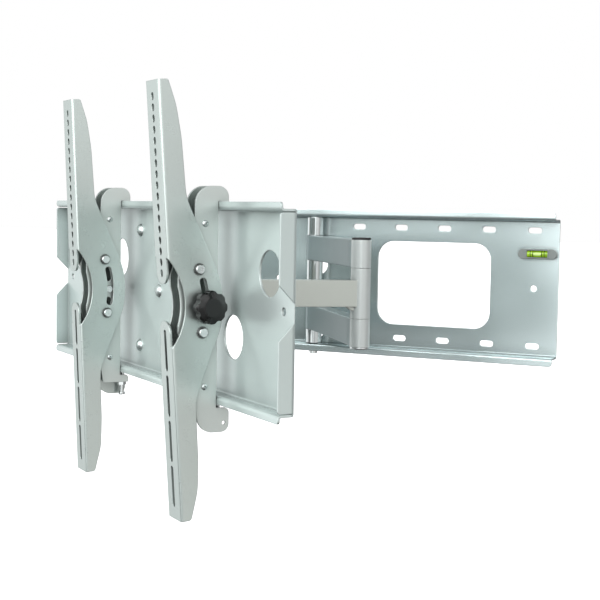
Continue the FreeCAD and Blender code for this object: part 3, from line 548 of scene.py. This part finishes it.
def make_world():
    """White all round for the eye, and broad soft panels for what lights the mount."""
    world = bpy.data.worlds.new("studio")
    bpy.context.scene.world = world
    world.use_nodes = True
    tree = world.node_tree
    tree.nodes.clear()
    output = add(tree, "ShaderNodeOutputWorld")
    seen = add(tree, "ShaderNodeBackground")
    seen.inputs["Color"].default_value = (1.0, 1.0, 1.0, 1.0)
    seen.inputs["Strength"].default_value = 1.0
    light = add(tree, "ShaderNodeBackground")
    light.inputs["Strength"].default_value = 1.0
    direction = add(tree, "ShaderNodeTexCoord").outputs["Generated"]
    total = None
    for centre, colour, reach, strength in PANELS:
        dot = add(tree, "ShaderNodeVectorMath", operation="DOT_PRODUCT")
        tree.links.new(direction, dot.inputs[0])
        dot.inputs[1].default_value = Vector(centre).normalized()
        ramp = add(tree, "ShaderNodeMapRange", interpolation_type="SMOOTHSTEP", clamp=True)
        ramp.inputs["From Min"].default_value = 1.0 - 2.0 * reach
        ramp.inputs["From Max"].default_value = 1.0
        ramp.inputs["To Min"].default_value = 0.0
        ramp.inputs["To Max"].default_value = strength
        tree.links.new(dot.outputs["Value"], ramp.inputs["Value"])
        scaled = add(tree, "ShaderNodeVectorMath", operation="SCALE")
        scaled.inputs[0].default_value = colour
        tree.links.new(ramp.outputs["Result"], scaled.inputs["Scale"])
        joined = add(tree, "ShaderNodeVectorMath", operation="ADD")
        tree.links.new(scaled.outputs["Vector"], joined.inputs[0])
        if total is None:
            joined.inputs[1].default_value = AMBIENT
        else:
            tree.links.new(total, joined.inputs[1])
        total = joined.outputs["Vector"]
    split = add(tree, "ShaderNodeSeparateXYZ")
    tree.links.new(direction, split.inputs["Vector"])
    low = remap(tree, split.outputs["Z"], -0.10, 0.03, 1.0, 0.0)
    left = remap(tree, split.outputs["X"], -0.38, -0.22, 1.0, 0.6)
    ahead = remap(tree, split.outputs["Y"], -0.80, -0.45, TABLE_SHADE, 0.0)
    under = remap(tree, split.outputs["Z"], -0.75, -0.35, FLOOR_SHADE, 0.0)
    table = maths(tree, "MULTIPLY", maths(tree, "MULTIPLY", low, left), ahead)
    kept = maths(tree, "SUBTRACT", 1.0, maths(tree, "MAXIMUM", table, under))
    shaded = add(tree, "ShaderNodeVectorMath", operation="SCALE")
    tree.links.new(total, shaded.inputs[0])
    tree.links.new(kept, shaded.inputs["Scale"])
    tree.links.new(shaded.outputs["Vector"], light.inputs["Color"])
    path = add(tree, "ShaderNodeLightPath")
    both = add(tree, "ShaderNodeMixShader")
    tree.links.new(path.outputs["Is Camera Ray"], both.inputs["Fac"])
    tree.links.new(light.outputs[0], both.inputs[1])
    tree.links.new(seen.outputs[0], both.inputs[2])
    tree.links.new(both.outputs[0], output.inputs["Surface"])


def area_light(name, place, target, size, power):
    data = bpy.data.lights.new(name, "AREA")
    data.shape = "RECTANGLE"
    data.size, data.size_y = size
    data.energy = power
    lamp = bpy.data.objects.new(name, data)
    lamp.location = place
    lamp.rotation_mode = "QUATERNION"
    lamp.rotation_quaternion = (Vector(target) - Vector(place)).to_track_quat("-Z", "Y")
    bpy.context.scene.collection.objects.link(lamp)


def make_camera():
    """The photographer's place: about 1.9 m away, to the right of the wall's normal, a little above."""
    data = bpy.data.cameras.new("camera")
    data.sensor_width = 36.0
    data.lens = 77.35
    data.clip_start, data.clip_end = 0.05, 100.0
    camera = bpy.data.objects.new("camera", data)
    forward = Vector((-0.43355, 0.89841, -0.06998)).normalized()
    right = Vector((0.89998, 0.43561, 0.01660)).normalized()
    up = right.cross(forward).normalized()
    camera.matrix_world = Matrix.Translation((0.81248, -1.74723, 0.10380)) @ Matrix(
        (right, up, -forward)).transposed().to_4x4()
    bpy.context.scene.collection.objects.link(camera)
    bpy.context.scene.camera = camera


make_floor()
make_world()
make_camera()
area_light("key", place=(-1.3, -2.4, 1.0), target=(0.05, -0.4, 0.0), size=(2.4, 2.0), power=14.0)
area_light("side", place=(1.4, -2.2, 1.7), target=(0.0, -0.2, 0.0), size=(2.0, 2.0), power=6.0)
bpy.context.scene.view_settings.view_transform = "Standard"
